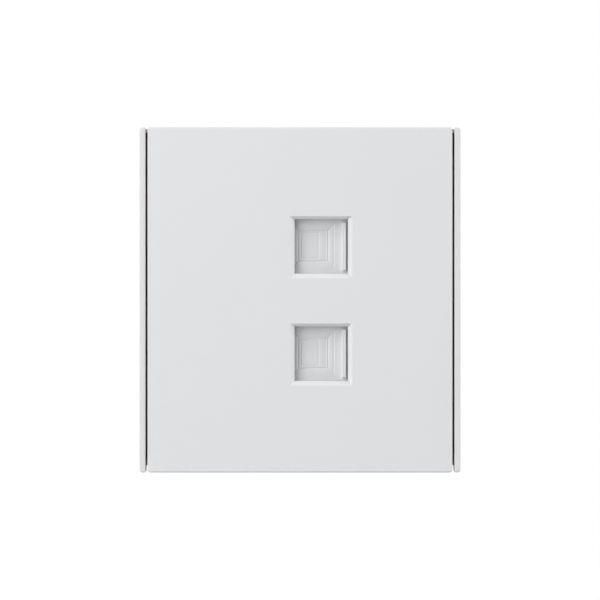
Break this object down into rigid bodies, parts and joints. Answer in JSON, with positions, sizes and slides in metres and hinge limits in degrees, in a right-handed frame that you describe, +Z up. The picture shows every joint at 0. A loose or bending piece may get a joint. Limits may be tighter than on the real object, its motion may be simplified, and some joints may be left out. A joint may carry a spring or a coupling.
{
  "type": "keystone faceplate",
  "caption": "White wall outlet faceplate for keystone jacks: flat cover between narrow side rails, bevelled square port windows with sliding sprung dust shutters.",
  "frame": {"origin": "middle of the frame's flat back, on the wall plane", "axes": "+X to the right seen from the front, +Y into the wall, +Z up"},
  "size_m": [0.08, 0.0168, 0.086],
  "materials": {
    "cover_plastic": "fine spark texture, matt white",
    "frame_plastic": "fine matt white",
    "shutter_plastic": "satin white",
    "inner_plastic": "as moulded, white",
    "spring_wire": "drawn stainless wire",
    "screw_steel": "zinc plated"
  },
  "bodies": {
    "housing": {"cover_plate": "cover_plastic", "mounting_frame": "frame_plastic", "shutter_track_upper": "inner_plastic", "shutter_spring_upper": "spring_wire", "track_screws_upper": "screw_steel", "keystone_carrier_upper": "inner_plastic", "shutter_track_lower": "inner_plastic", "shutter_spring_lower": "spring_wire", "track_screws_lower": "screw_steel", "keystone_carrier_lower": "inner_plastic"},
    "shutter_upper": {"shutter_upper": "shutter_plastic"},
    "shutter_lower": {"shutter_lower": "shutter_plastic"}
  },
  "joints": [
    {"name": "shutter_upper_slide", "type": "slide", "parent": "housing", "child": "shutter_upper", "axis": [-1, 0, 0], "range_m": [0, 0.0116], "stiffness_N_per_m": 40, "springref_m": -0.006, "deforming": ["shutter_spring_upper"]},
    {"name": "shutter_lower_slide", "type": "slide", "parent": "housing", "child": "shutter_lower", "axis": [-1, 0, 0], "range_m": [0, 0.0116], "stiffness_N_per_m": 40, "springref_m": -0.006, "deforming": ["shutter_spring_lower"]}
  ]
}
